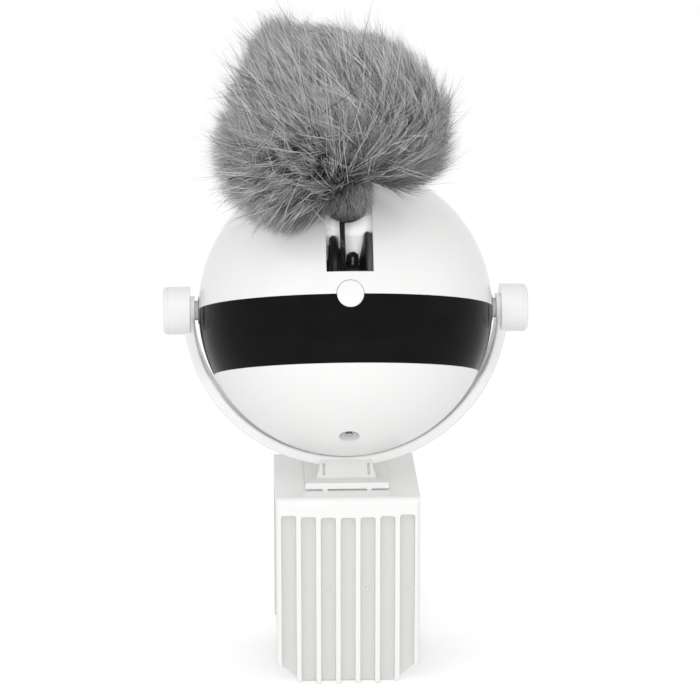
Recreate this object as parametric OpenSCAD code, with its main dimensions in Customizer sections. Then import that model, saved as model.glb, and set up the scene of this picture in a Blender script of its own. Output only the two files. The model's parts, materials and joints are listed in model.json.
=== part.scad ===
// Automatic cat teaser: a tilting ball-shaped winch head in a yoke on a door-top saddle,
// with a fur pompom hanging on the string. Millimetres, Z up, viewer towards -Y.

/* [Head] */
// Outside diameter of the head
head_d = 96; // [90:1:104]
// Wall of the three shells
wall = 2.2; // [1.8:0.1:2.8]
// Height of the black band below the equator
band_h = 21.2; // [18:0.1:24]
// Lean of the head, front up
head_tilt = 21; // [0:1:30]
// Lift of the head's strap above the saddle top
head_lift = 4.3; // [3.8:0.1:7.3]

/* [Slot] */
// Width of the string slot
slot_w = 14.7; // [14.7:0.1:17]
// Lower edge of the slot above the equator
slot_low = 7; // [6.8:0.1:8.5]
// Upper edge of the slot above the equator
slot_top = 36; // [34:0.5:38]
// Wall of the white well behind the slot
well_t = 1.2; // [1:0.1:1.5]

/* [Winch] */
// Spool axis behind the front of the head
spool_front = 28; // [27.5:0.1:28.5]
// Spool axis above the head centre
spool_up = 17.5; // [17:0.1:18]
// Radius of the wound string under the last loop
drum_r = 7.9; // [7:0.1:8.2]
// Radius of the left spool flange
flange_r = 11.8; // [11:0.1:12]
// Radius of the right spool flange
wheel_r = 13; // [12.8:0.1:13.2]
// Radius of the bare barrel of the spool
barrel_r = 2.6; // [2.4:0.1:2.8]
// Diameter of the string
string_d = 1.4; // [1.2:0.1:1.5]
// Loops of string on the spool
loops = 0.66; // [0.62:0.02:0.7]
// Gear module
gear_m = 0.8; // [0.7:0.01:0.8]
// Teeth of the spool gear
spool_teeth = 30; // [28:1:30]
// Teeth of the pinion
pinion_teeth = 16; // [16:1:18]

/* [Button and socket] */
// Diameter of the power button
button_d = 8.4; // [7.6:0.1:9]
// Diameter of the charging recess
socket_d = 6.5; // [6:0.1:7]
// Angle of the charging recess below the equator
socket_dip = 63.7; // [60:0.1:67]

/* [Yoke] */
// Gap between the head and the strap
strap_gap = 1.3; // [1:0.1:2]
// Thickness of the strap
strap_t = 3.4; // [3:0.1:3.8]
// Width of the strap
strap_w = 9.6; // [8:0.1:11]
// Diameter of the round hubs
hub_d = 15.7; // [15:0.1:17]
// Reach of the hubs from the strap to the cap
hub_l = 7.2; // [6.5:0.1:8]
// Thickness of the hub caps
cap_t = 1.6; // [1.2:0.1:2]
// Width of the foot plate
foot_w = 27.4; // [26:0.1:30]
// Depth of the foot plate
foot_l = 32; // [28:1:34]
// Thickness of the foot plate
foot_t = 2.1; // [1.8:0.1:2.2]

/* [Saddle] */
// Width of the saddle
saddle_w = 47; // [46:0.5:50]
// Depth of the saddle from front to back
saddle_l = 50; // [48:1:56]
// Thickness of the saddle top
top_t = 4; // [3.8:0.1:5]
// Height of the skirts under the saddle top face
skirt_h = 64; // [60:1:70]
// Thickness of a skirt with its ribs
skirt_t = 4.3; // [4:0.1:5]
// Depth of the grooves between the ribs
groove_depth = 2.7; // [2:0.1:2.8]
// Width of a groove
groove_w = 4.8; // [4:0.1:5]
// Number of grooves
grooves = 7; // [5:2:7]
// Thickness of the foam pads
pad_t = 1; // [0.8:0.1:1.4]

/* [Pompom] */
// Height of the pompom centre above the top of the head
pompom_up = 21.3; // [19:0.1:24]
// Radius of the stuffed core
core_r = 19; // [17:0.5:20]
// Radius of the main lump of fur
fur_r = 30; // [27:0.5:32]

/* [Hidden] */
$fn = 64;
eps = 0.01;
// How far a cut runs past a face
over = 1;
// Clearances
press_gap = 0.02;
seat_gap = 0.05;
run_gap = 0.06;
slip_gap = 0.12;
lay_gap = 0.15;
side_gap = 0.25;
soft_gap = 0.5;
room = 0.9;
head_r = head_d / 2;
in_r = head_r - wall;
mid_r = in_r + wall / 2;
top_z = pad_t + top_t;
head_z = top_z + head_lift + strap_t + strap_gap + head_r;
slot_half = slot_w / 2;
gear_room = 3;
well_half = slot_half + side_gap + gear_room;
well_out = well_half + well_t;

// A range about a middle
function span(mid, half) = [mid - half, mid + half];

// A point of the upright frame, taken into the leaning head
function lean(y, z) = [
    y * cos(head_tilt) - z * sin(head_tilt),
    y * sin(head_tilt) + z * cos(head_tilt)
];

// Winch places in the head frame
spool_y = spool_front - head_r;
spool_at = lean(spool_y, spool_up);
gear_dip = -15;
gear_reach = gear_m * (spool_teeth + pinion_teeth) / 2 + seat_gap;
pinion_at = spool_at + gear_reach * [cos(gear_dip), sin(gear_dip)];
tip_share = 0.9;
root_share = 1.2;
gear_tip = gear_m * (spool_teeth / 2 + tip_share);
pinion_tip = gear_m * (pinion_teeth / 2 + tip_share);
wind_r = drum_r + string_d / 2 + lay_gap;
low_r = barrel_r + string_d / 2 + lay_gap;
string_x = -1.9;
string_y = spool_y - wind_r;
string_z = head_z + spool_up;
heap_x = string_x + string_d / 2 + lay_gap;
flange_x = string_x - string_d / 2 - soft_gap;
flange_w = 2.5;
flange_left = flange_x - flange_w;
flange_step = 3;
flange_foot = 0.5;
flange_bevel = 0.7;
wheel_x = slot_half + lay_gap;
wheel_w = 2.2;
wheel_flare = 1.5;
gear_x = wheel_x;
gear_w = well_half - soft_gap - gear_x;
gear_hub_r = 4;
pinion_inset = 0.2;
axle_r = 1.5;
axle_proud = 0.6;
bush_r = 2.6;
boss_l = 2.7;
boss_t = 1.6;

// Roof of the well behind the spool
well_back = 13;
well_roof = 13.5;
well_brow = 4;

// Motor places on the right side of the well
motor_x = well_out + seat_gap;
box_l = 9;
can_l = 15;
motor_w = 12;
motor_h = 10;
can_boss_r = 2.4;
can_boss_l = 1.2;
shaft_hole_r = 2.4;
shaft_in = 5;
motor_screw_y = 4.4;
motor_screw_r = 0.7;
motor_screw_l = 3.6;

// Screws: radius and height of each head
pilot_r = 1.1;
screw_l = 8;
screw_head = [2.2, 1.6];
small_r = 0.8;
small_l = 3;
small_head = [1.5, 1.2];
flat_head = [1.3, 0.45];

// Equator places
lip_h = 1.8;
lip_up = 1.6;
lip_t = 1.3;
lip_gap = 0.3;
lip_r = in_r - lip_gap;
bush_out = 4.4;
bush_in = 4.8;
bush_rim = 1.8;
screw_r = 2;
post_x = head_r * 7 / 12;
post_y = head_r * 3 / 8;
post_r = 3;
ear_in = 3.6;
ear_x = well_out + ear_in;
ear_y = -17;
ear_z = 25;
ear_t = 2;

// Foot of the band and the charging recess
rim_gap = 0.2;
rim_r = sqrt(in_r * in_r - band_h * band_h) - rim_gap;
cup_l = 9;
cup_t = 1.4;
jack_l = 6;
jack_pin_r = 1;
jack_pin_in = 3;
jack_pin_low = 0.6;

// Chassis and what it carries
deck_z = -8;
deck_t = 2;
deck_gap = 8.8;
deck_r = in_r - deck_gap;
cell_d = 18.4;
cell_l = 50;
cell_tip_r = 3;
cell_tip_l = 1;
cell_at = [5, -22];
cradle_x = 16;
cradle_t = 2;
cradle_low = 1;
clip_w = 10;
clip_t = 1.6;
well_x = head_r * 5 / 12;
well_y = head_r * 7 / 16;
seat_z = -22;
seat_r = 3;
boss_z = -14;
boss_r = 4.4;
stand_r = 3.4;
board_at = [0, 22];
board_size = [32, 27, 1.6];
board_z = -4;
board_hole = [13, 10.5];
board_stand_r = 2;
// Parts on the board: middle in X and Y, width, depth, height
chips = [
    [0, 0, 8, 8, 1.2],
    [9, -0.5, 5, 5, 3],
    [-8.75, -5, 4.5, 6, 4.5],
    [1.5, 8, 9, 4, 4.5]
];
can_at = [-9, 4];
can_r = 2.5;
can_h = 6;

// Button places
button_r = button_d / 2;
button_proud = 0.3;
collar_in = 0.6;
collar_t = 0.8;
collar_y = -in_r + collar_in;
collar_edge = 0.9;
collar_r = button_r + collar_edge;
stem_r = 1.6;
press = 0.5;
plate_in = 5.2;
plate_y = -in_r + plate_in;
plate_w = 18.4;
plate_t = 1.2;
plate_z = [-9, 2.5];
plate_hole = [7, -6.5];
plate_post_r = 1.8;
tact_h = 2.5;
tact_w = 6;
tact_z = [-3, 2.4];
tact_floor = 0.6;

// Yoke places
strap_in = head_r + strap_gap;
strap_out = strap_in + strap_t;
strap_edge = 0.7;
washer_r = 3.2;
flat_x = sqrt(strap_in * strap_in - washer_r * washer_r) - seat_gap;
hub_step = 1.25;
hub_in = strap_in + hub_step;
hub_end = hub_in + hub_l;
hub_r = hub_d / 2;
recess_r = 4.6;
recess_x = hub_in + 3.2;
pivot_in = 4.4;
pivot_head_r = recess_r - 0.8;
pivot_head_h = 2;
cap_edge = 0.6;
cap_step = 0.15;
cap_bevel = 0.75;
cap_plug = 1.6;
foot_gap = 0.4;
foot_z = top_z + foot_gap;
neck_w = 14;
neck_top = head_z - strap_in - strap_t / 2;
gusset_w = 20;
gusset_t = 1.6;
gusset_gap = 0.7;
neck_l = 24;
peg = [1.8, 3, 3];
peg_x = 7.2;
foot_screw_x = 4.2;
foot_screw_l = 8.6;

// Saddle places
rib_w = 1.65;
groove_pitch = groove_w + rib_w;
groove_top = 5.2;
groove_r = 0.8;
smile = 1.3;
corner_w = 8.5;
corner_h = 7;
edge_r = 2.5;
side_r = 1.4;
mark_r = 0.8;
mark_t = 0.15;
mark_drop = 32;
skirt_z = top_z - skirt_h;
pad_edge = 3;
pad_inset = 1.4;
side_pad_edge = 5;
side_pad_low = 3;
side_pad_drop = 6;

// Pompom places
cap_in = 12;
cap_low = head_r - cap_in;
cap_r = 6.2;
cap_side = 1.4;
knot_up = 4;
knot_z = head_r + knot_up;
pompom_z = head_r + pompom_up;
pompom_at = [string_x, string_y, head_z + pompom_z];
// Lumps of fur: share of fur_r sideways, in depth and upwards, then the share of its radius
lumps = [
    [-0.15, 0, -0.06, 0.92],
    [-0.5, -0.1, -0.36, 0.82],
    [0.66, 0.05, -0.12, 0.58],
    [-0.3, 0.12, 0.3, 0.77],
    [0.2, 0.02, 0.15, 0.76],
    [-0.44, -0.06, -0.02, 0.82],
    [0.4, -0.05, -0.4, 0.52],
    [0.03, 0.3, 0.06, 0.73]
];

// Involute gear outline, one tooth centred on the X axis
function inv_deg(c) = tan(acos(c)) * 180 / PI - acos(c);
function polar(r, a) = [r * cos(a), r * sin(a)];
function flank(teeth, r) =
    let(rp = gear_m * teeth / 2, rb = rp * cos(20))
    90 / teeth - 5 / rp + inv_deg(cos(20)) - inv_deg(min(1, rb / r));
function gear_line(teeth) =
    let(rp = gear_m * teeth / 2, rf = rp - root_share * gear_m, ra = rp + tip_share * gear_m, n = 5)
    [for (i = [0 : teeth - 1]) each concat(
        [for (k = [0 : n]) let(r = rf + (ra - rf) * k / n)
            polar(r, 360 * i / teeth - flank(teeth, r))],
        [for (k = [n : -1 : 0]) let(r = rf + (ra - rf) * k / n)
            polar(r, 360 * i / teeth + flank(teeth, r))]
    )];

// One closed tube along a list of points, with flat ends
function unit(v) = v / norm(v);
function along(p, i) = unit(p[min(i + 1, len(p) - 1)] - p[max(i - 1, 0)]);
function ring_at(p, i, r, n) =
    let(t = along(p, i), u = unit(cross(t, [1, 1, 0])), v = cross(t, u))
    [for (k = [0 : n - 1]) p[i] + r * (cos(360 * k / n) * u + sin(360 * k / n) * v)];
module tube(p, r, n = 6) {
    m = len(p);
    pts = [for (i = [0 : m - 1]) each ring_at(p, i, r, n)];
    sides = [for (i = [0 : m - 2], k = [0 : n - 1])
        [i * n + k, i * n + (k + 1) % n, (i + 1) * n + (k + 1) % n, (i + 1) * n + k]];
    ends = [[for (k = [n - 1 : -1 : 0]) k], [for (k = [0 : n - 1]) (m - 1) * n + k]];
    polyhedron(pts, concat(sides, ends));
}

// String on the spool: a straight end up the front, a loop over the heap that steps down beside it
// to the barrel, and a loose bight that stands up there
rings = 24;
wind_step = 2.2;
wind_creep = string_d + lay_gap;
function ease(u) = let(v = max(0, min(1, u))) v * v * (3 - 2 * v);
function wind_x(t) = string_x + wind_step * ease(t / 0.3) + wind_creep * max(0, t - 0.5);
function wind_in(t) = wind_r - (wind_r - low_r) * ease((t - 0.3) / 0.35);
wind_turn = [for (i = [0 : loops * rings]) let(t = i / rings) [
    wind_x(t), -wind_in(t) * cos(360 * t), -wind_in(t) * sin(360 * t)]];
wind_end = wind_turn[len(wind_turn) - 1];
bight_half = 1.15;
bight_rise = 2.1;
bight_lean = 1.7;
bight_foot = 1.6;
bight_line = concat(
    [for (u = [0.3, 0.55, 0.8, 1]) wind_end + [0, -bight_lean * sin(90 * u), bight_rise * (1 - cos(90 * u))]],
    [for (a = [160 : -20 : 0]) wind_end + [
        bight_half * (1 + cos(a)), -bight_lean, bight_rise + bight_half * sin(a)]],
    [wind_end + [2 * bight_half, -bight_lean, bight_rise - bight_foot]]
);
wind_line = concat([[string_x, -wind_r, string_d]], wind_turn, bight_line);
wind_gaps = [for (i = [0 : len(wind_line) - 1], j = [0 : len(wind_line) - 1])
    if (j - i > rings / 2) norm(wind_line[j] - wind_line[i]) - string_d];
echo(winding_gap = min(wind_gaps));

module in_head() {
    translate([0, 0, head_z]) rotate([-head_tilt, 0, 0]) children();
}

// A cylinder from x0 to x1 about an axis through (y, z)
module rod_x(x0, x1, r, at = [0, 0], r2 = -1) {
    translate([x0, at[0], at[1]]) rotate([0, 90, 0])
        cylinder(h = x1 - x0, r1 = r, r2 = r2 < 0 ? r : r2);
}

// A cylinder from y0 to y1 about an axis through (x, z)
module rod_y(y0, y1, r, at = [0, 0]) {
    translate([at[0], y0, at[1]]) rotate([-90, 0, 0]) cylinder(h = y1 - y0, r = r);
}

module rod_z(z0, z1, r, at = [0, 0], r2 = -1) {
    translate([at[0], at[1], z0]) cylinder(h = z1 - z0, r1 = r, r2 = r2 < 0 ? r : r2);
}

module box(x, y, z) {
    translate([x[0], y[0], z[0]]) cube([x[1] - x[0], y[1] - y[0], z[1] - z[0]]);
}

module sides() {
    children();
    mirror([1, 0, 0]) children();
}

// A rectangle from the origin with round corners
module round_square(w, l, r) {
    translate([r, 0]) square([w - 2 * r, l]);
    translate([0, r]) square([w, l - 2 * r]);
    for (x = [r, w - r], y = [r, l - r]) translate([x, y]) circle(r);
}

// A profile drawn in Y and Z, drawn out along X
module prism_x(x0, x1, line) {
    translate([x0, 0, 0]) rotate([90, 0, 90]) linear_extrude(x1 - x0) polygon(line);
}

module zone(low, high) {
    intersection() {
        difference() {
            sphere(head_r, $fn = 96);
            sphere(in_r, $fn = 96);
        }
        box([-head_d, head_d], [-head_d, head_d], [low, high]);
    }
}

module ring_z(z0, z1, r_in, r_out) {
    difference() {
        rod_z(z0, z1, r_out);
        rod_z(z0 - over, z1 + over, r_in);
    }
}

// A screw along Z, with its head below 0
module screw(r, l, head) {
    rod_z(-head[1], 0, head[0]);
    rod_z(-eps, l, r);
}

// Repeats a shape at the corners of a rectangle
module at_corners(half, at = [0, 0]) {
    for (x = [-half[0], half[0]], y = [-half[1], half[1]])
        translate([at[0] + x, at[1] + y, 0]) children();
}

module at_posts() {
    at_corners([post_x, post_y]) children();
}

module at_board() {
    at_corners(board_hole, board_at) children();
}

module at_ears() {
    for (x = [-ear_x, ear_x]) translate([x, ear_y, 0]) children();
}

module at_wells() {
    for (x = [-well_x, well_x]) translate([x, well_y, 0]) children();
}

module at_plate() {
    for (x = [-plate_hole[0], plate_hole[0]]) translate([x, 0, plate_hole[1]]) children();
}

// The two motor screws, on the level of the pinion
module at_motor() {
    for (y = [-motor_screw_y, motor_screw_y]) translate([0, pinion_at[0] + y, pinion_at[1]]) children();
}

module at_pegs() {
    at_corners([peg_x, (foot_l - peg[1]) / 2]) children();
}

module at_foot_screws() {
    for (x = [-foot_screw_x, foot_screw_x]) translate([x, 0, 0]) children();
}

module pivot_bores() {
    sides() rod_x(head_r / 2, head_d, bush_out + slip_gap);
}

module button_bore() {
    rod_y(-head_d, plate_y, button_r + slip_gap);
}

module upper_shell() {
    color("white") in_head() difference() {
        union() {
            zone(0, head_d);
            ring_z(0, lip_up, lip_r - lip_t, mid_r);
            ring_z(-lip_h, lip_up, lip_r - lip_t, lip_r);
            intersection() {
                sphere(mid_r);
                union() {
                    at_posts() rod_z(deck_z, head_d, post_r);
                    at_ears() rod_z(ear_z + ear_t, head_d, post_r);
                }
            }
        }
        box(span(0, slot_half), [-head_d, -post_y - post_r], [slot_low, slot_top]);
        pivot_bores();
        button_bore();
        rod_y(collar_y - side_gap, plate_y, collar_r + over);
        at_posts() rod_z(deck_z - over, deck_z + screw_l + over, pilot_r + press_gap);
        at_ears() rod_z(ear_z, ear_z + screw_l + over, pilot_r + press_gap);
    }
}

module visor_band() {
    color("black") in_head() difference() {
        union() {
            zone(-band_h, 0);
            intersection() {
                sphere(mid_r);
                at_plate() rod_y(-head_d, plate_y, plate_post_r);
            }
        }
        pivot_bores();
        button_bore();
        at_plate() rod_y(plate_y - small_l, plate_y + over, small_r + press_gap);
    }
}

// Stands a shape on the charging axis, Z outwards
module on_socket() {
    rotate([90 + socket_dip, 0, 0]) mirror([0, 1, 0]) children();
}

module lower_shell() {
    color("white") in_head() difference() {
        union() {
            zone(-head_d, -band_h);
            intersection() {
                sphere(mid_r);
                union() {
                    ring_z(-band_h - lip_up, -band_h, rim_r - lip_t, rim_r + rim_gap + wall / 2);
                    at_wells() rod_z(-head_d, boss_z, boss_r);
                    on_socket() rod_z(head_r - cup_l, head_d, socket_d / 2 + cup_t);
                }
            }
            ring_z(-band_h - eps, -band_h + lip_h, rim_r - lip_t, rim_r);
        }
        at_wells() {
            rod_z(-head_d, seat_z, seat_r);
            rod_z(seat_z - over, boss_z + over, pilot_r + slip_gap);
        }
        on_socket() rod_z(head_r - cup_l - over, head_d, socket_d / 2);
    }
}

// Well outline in Y and Z: t widens it by the wall
function well_line(t) = let(
    front = spool_at[0] - gear_tip - room - t,
    toe = spool_at[0] - gear_tip * 0.72 - room - t,
    floor_z = spool_at[1] - gear_tip - room - t,
    back = pinion_at[0] + pinion_tip + room + t
) [
    [-head_d, slot_low - t],
    [front, slot_low - t],
    [toe, floor_z],
    [back, floor_z],
    [back, pinion_at[1] + pinion_tip + t],
    [spool_at[0] + well_back + t, spool_at[1] + well_roof + t],
    [spool_at[0] + well_brow + t, slot_top + t],
    [-head_d, slot_top + t]
];

module string_well() {
    color("white") in_head() difference() {
        union() {
            intersection() {
                sphere(in_r - slip_gap);
                prism_x(-well_out, well_out, well_line(well_t));
            }
            sides() {
                rod_x(well_out - eps, well_out + boss_l, bush_r + boss_t, spool_at);
                box([well_out - eps, ear_x + post_r], span(ear_y, post_r), [ear_z, ear_z + ear_t]);
            }
        }
        prism_x(-well_half, well_half, well_line(0));
        sides() rod_x(well_half - over, well_out + boss_l + over, bush_r + press_gap, spool_at);
        rod_x(well_half - over, well_out + over, shaft_hole_r, pinion_at);
        at_motor() rod_x(well_half - over, well_out + over, motor_screw_r + slip_gap);
        at_ears() rod_z(ear_z - over, ear_z + ear_t + over, pilot_r + slip_gap);
    }
}

module well_screws() {
    color("silver") in_head() at_ears() translate([0, 0, ear_z]) screw(pilot_r, screw_l, screw_head);
}

module spool_bushes() {
    color("goldenrod") in_head() sides() difference() {
        rod_x(well_half, well_out + boss_l, bush_r, spool_at);
        rod_x(well_half - over, well_out + boss_l + over, axle_r + run_gap, spool_at);
    }
}

module spool_axle() {
    axle_end = well_out + boss_l + axle_proud;
    color("silver") in_head() rod_x(-axle_end, axle_end, axle_r, spool_at);
}

// A disc on the spool's axis with a round rim
module disc_x(x0, x1, r) {
    rod_x(x0, x0 + flange_bevel + eps, r - flange_bevel, spool_at, r);
    rod_x(x0 + flange_bevel, x1 - flange_bevel, r, spool_at);
    rod_x(x1 - flange_bevel - eps, x1, r, spool_at, r - flange_bevel);
}

module spool() {
    color("black") in_head() difference() {
        union() {
            disc_x(flange_left, flange_x, flange_r);
            rod_x(flange_left - flange_foot, flange_x, flange_r - flange_step, spool_at);
            rod_x(soft_gap - well_half, flange_x, gear_hub_r, spool_at);
            rod_x(flange_x - eps, heap_x, drum_r, spool_at);
            rod_x(heap_x - eps, wheel_x, barrel_r, spool_at);
            disc_x(wheel_x - wheel_w, wheel_x, wheel_r);
            rod_x(wheel_x - wheel_w - wheel_flare, wheel_x - wheel_w + eps, gear_hub_r, spool_at,
                wheel_r - 2 * flange_bevel);
            rod_x(wheel_x - eps, gear_x + gear_w, gear_hub_r, spool_at);
        }
        rod_x(-head_r, head_r, axle_r + press_gap, spool_at);
    }
}

module spool_gear() {
    color("gray") in_head() difference() {
        translate([gear_x, spool_at[0], spool_at[1]]) rotate([90, 0, 90]) rotate(gear_dip)
            linear_extrude(gear_w) polygon(gear_line(spool_teeth));
        rod_x(0, head_r, gear_hub_r + press_gap, spool_at);
    }
}

module string_winding() {
    color("black") translate([0, spool_y, string_z]) tube(wind_line, string_d / 2);
}

module string_free() {
    low = string_d + seat_gap;
    color("black") translate([string_x, string_y, string_z + low])
        cylinder(h = knot_z - spool_up - low, r = string_d / 2, $fn = 24);
}

module pinion() {
    color("gray") in_head() difference() {
        translate([gear_x + pinion_inset, pinion_at[0], pinion_at[1]]) rotate([90, 0, 90])
            rotate(gear_dip + 180 + 180 / pinion_teeth)
            linear_extrude(gear_w - 2 * pinion_inset) polygon(gear_line(pinion_teeth));
        rod_x(-head_r, head_r, axle_r + press_gap, pinion_at);
    }
}

module motor_shaft() {
    color("silver") in_head() rod_x(gear_x + pinion_inset, motor_x + shaft_in, axle_r, pinion_at);
}

module motor_gearbox() {
    color("goldenrod") in_head() difference() {
        box([motor_x, motor_x + box_l], span(pinion_at[0], motor_w / 2),
            span(pinion_at[1], motor_h / 2));
        rod_x(motor_x - over, motor_x + shaft_in + soft_gap, axle_r + run_gap, pinion_at);
        at_motor() rod_x(motor_x - over, motor_x + motor_screw_l + soft_gap, motor_screw_r + press_gap);
    }
}

module motor_can() {
    can_x = motor_x + box_l;
    color("silver") in_head() {
        intersection() {
            rod_x(can_x, can_x + can_l, motor_w / 2, pinion_at);
            box([can_x, can_x + can_l], span(pinion_at[0], motor_w / 2), span(pinion_at[1], motor_h / 2));
        }
        rod_x(can_x + can_l - eps, can_x + can_l + can_boss_l, can_boss_r, pinion_at);
    }
}

module motor_screws() {
    color("silver") in_head() at_motor() translate([well_half, 0, 0]) rotate([0, 90, 0])
        screw(motor_screw_r, motor_x + motor_screw_l - well_half, flat_head);
}

module chassis() {
    color("lightgray") in_head() difference() {
        union() {
            rod_z(deck_z - deck_t, deck_z - slip_gap, deck_r);
            for (x = [-cradle_x, cradle_x])
                box(span(x, cradle_t / 2), span(cell_at[0], cell_d / 2 + cradle_t),
                    [cell_at[1] + cradle_low, deck_z - deck_t + eps]);
            at_wells() rod_z(boss_z + slip_gap, deck_z - slip_gap, stand_r);
            at_board() rod_z(deck_z - deck_t / 2, board_z, board_stand_r);
        }
        rod_x(-head_r, head_r, cell_d / 2 + press_gap, cell_at);
        at_posts() rod_z(deck_z - deck_t - over, deck_z + over, pilot_r + slip_gap);
        at_wells() rod_z(boss_z - over, deck_z + over, pilot_r + press_gap);
        at_board() rod_z(board_z - small_l - soft_gap, board_z + over, small_r + press_gap);
    }
}

module chassis_screws() {
    color("silver") in_head() at_posts() translate([0, 0, deck_z - deck_t])
        screw(pilot_r, deck_t + screw_l, screw_head);
}

module shell_screws() {
    color("silver") in_head() at_wells() translate([0, 0, seat_z])
        screw(pilot_r, deck_z - deck_t / 2 - seat_z, screw_head);
}

module battery() {
    color("steelblue") in_head() {
        rod_x(-cell_l / 2, cell_l / 2, cell_d / 2, cell_at);
        rod_x(cell_l / 2 - eps, cell_l / 2 + cell_tip_l, cell_tip_r, cell_at);
    }
}

module battery_clip() {
    cell_room = cell_d / 2 + press_gap;
    color("lightgray") in_head() difference() {
        box(span(0, clip_w / 2), span(cell_at[0], cell_d / 2 + cradle_t),
            [cell_at[1] - cell_d / 2 - clip_t, deck_z - deck_t]);
        rod_x(-clip_w, clip_w, cell_room, cell_at);
        box(span(0, clip_w), span(cell_at[0], cell_room), [cell_at[1], deck_z]);
    }
}

module main_board() {
    color("green") in_head() difference() {
        translate([board_at[0] - board_size[0] / 2, board_at[1] - board_size[1] / 2, board_z])
            cube(board_size);
        at_board() rod_z(board_z - over, board_z + board_size[2] + over, small_r + slip_gap);
    }
}

module board_parts() {
    color("dimgray") in_head() translate([board_at[0], board_at[1], board_z + board_size[2]]) {
        for (c = chips) box(span(c[0], c[2] / 2), span(c[1], c[3] / 2), [0, c[4]]);
        rod_z(0, can_h, can_r, can_at);
    }
}

module board_screws() {
    color("silver") in_head() at_board() translate([0, 0, board_z + board_size[2]]) mirror([0, 0, 1])
        screw(small_r, board_size[2] + small_l, small_head);
}

module button_board() {
    color("green") in_head() difference() {
        box(span(0, plate_w / 2), [plate_y, plate_y + plate_t], plate_z);
        at_plate() rod_y(plate_y - over, plate_y + plate_t + over, small_r + slip_gap);
    }
}

module button_screws() {
    color("silver") in_head() at_plate() translate([0, plate_y + plate_t, 0]) rotate([90, 0, 0])
        screw(small_r, plate_t + small_l - soft_gap, small_head);
}

module tact_switch() {
    color("dimgray") in_head() difference() {
        box(span(0, tact_w / 2), [plate_y - tact_h, plate_y], tact_z);
        rod_y(-head_d, plate_y - tact_floor, stem_r + run_gap);
    }
}

module power_button() {
    color("white") in_head() {
        intersection() {
            sphere(head_r + button_proud, $fn = 200);
            rod_y(-head_d, collar_y + collar_t / 2, button_r);
        }
        rod_y(collar_y, collar_y + collar_t, collar_r);
        rod_y(collar_y + collar_t / 2, plate_y - tact_floor - press - slip_gap, stem_r);
    }
}

module charge_jack() {
    color("dimgray") in_head() on_socket() difference() {
        rod_z(head_r - cup_l - jack_l, head_r - cup_l, socket_d / 2 + cup_t);
        rod_z(head_r - cup_l - jack_pin_in, head_r, jack_pin_r + press_gap);
    }
}

module jack_pin() {
    color("silver") in_head() on_socket()
        rod_z(head_r - cup_l - jack_pin_in, head_r - jack_pin_low, jack_pin_r);
}

module pivot_bushes() {
    color("lightgray") in_head() sides() difference() {
        union() {
            rod_x(in_r - bush_in, head_r, bush_out);
            rod_x(in_r - bush_in, in_r - bush_in + bush_rim, bush_out + bush_rim);
        }
        rod_x(0, head_d, screw_r + press_gap);
    }
}

module friction_washers() {
    color("dimgray") in_head() sides() difference() {
        rod_x(head_r, flat_x - seat_gap, washer_r);
        rod_x(0, head_d, screw_r + press_gap);
    }
}

module pivot_screws() {
    neck_x = recess_x + slip_gap;
    color("silver") in_head() sides() {
        rod_x(in_r - pivot_in, neck_x, screw_r);
        rod_x(neck_x - eps, neck_x + pivot_head_h, pivot_head_r);
    }
}

module yoke() {
    color("white") difference() {
        union() {
            translate([0, 0, head_z]) {
                rotate([90, 180, 0]) rotate_extrude(angle = 180, $fn = 96)
                    translate([strap_in, -strap_w / 2]) round_square(strap_t, strap_w, strap_edge);
                sides() {
                    rod_x(flat_x, strap_out, strap_w / 2);
                    rod_x(hub_in, hub_end, hub_r);
                }
            }
            neck();
            box(span(0, foot_w / 2), span(0, foot_l / 2), [foot_z, foot_z + foot_t]);
            at_pegs() box(span(0, peg[0] / 2), span(0, peg[1] / 2), [top_z - peg[2], foot_z + eps]);
        }
        translate([0, 0, head_z]) sides() {
            rod_x(head_r, head_d, screw_r + run_gap);
            rod_x(recess_x, head_d, recess_r);
        }
        at_foot_screws() rod_z(0, pad_t + foot_screw_l, pilot_r + press_gap);
    }
}

// Side outline of the neck, from the foot plate to the strap: t narrows it
function neck_line(low, t = 0) = [
    [-neck_l / 2 + t, low],
    [neck_l / 2 - t, low],
    [strap_w / 2 - t, neck_top + over],
    [-strap_w / 2 + t, neck_top + over]
];

// Neck that spreads to the foot plate, with a slanting web beside each groove
module neck() {
    low = foot_z + foot_t / 2;
    web_x = neck_w / 2 + gusset_gap;
    difference() {
        intersection() {
            prism_x(-gusset_w / 2, gusset_w / 2, neck_line(low));
            translate([0, neck_l / 2, 0]) rotate([90, 0, 0]) linear_extrude(neck_l) polygon([
                [-gusset_w / 2, low],
                [gusset_w / 2, low],
                [gusset_w / 2 - gusset_t, neck_top + over],
                [-gusset_w / 2 + gusset_t, neck_top + over]
            ]);
        }
        sides() difference() {
            box([neck_w / 2, web_x], span(0, neck_l), [foot_z + foot_t + gusset_gap, neck_top]);
            prism_x(0, foot_w, neck_line(low, gusset_t));
        }
    }
}

module hub_cap() {
    edge_x = hub_end + cap_t - cap_edge;
    rim = hub_r - cap_step;
    translate([0, 0, head_z]) {
        rod_x(hub_end, edge_x, rim);
        rod_x(edge_x - eps, hub_end + cap_t, rim, [0, 0], rim - cap_bevel);
        rod_x(hub_end - cap_plug, hub_end + eps, recess_r - slip_gap);
    }
}

module right_hub_cap() {
    color("white") hub_cap();
}

module left_hub_cap() {
    color("white") mirror([1, 0, 0]) hub_cap();
}

// Section of the saddle in Y and Z
module saddle_section() {
    difference() {
        translate([-saddle_l / 2, skirt_z]) square([saddle_l, skirt_h]);
        translate([-saddle_l / 2 + skirt_t, skirt_z - over])
            square([saddle_l - 2 * skirt_t, skirt_h + over - top_t]);
        for (s = [-1, 1]) scale([s, 1]) translate([saddle_l / 2 - edge_r, top_z - edge_r])
            difference() {
                square(edge_r + over);
                circle(edge_r);
            }
    }
}

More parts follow.
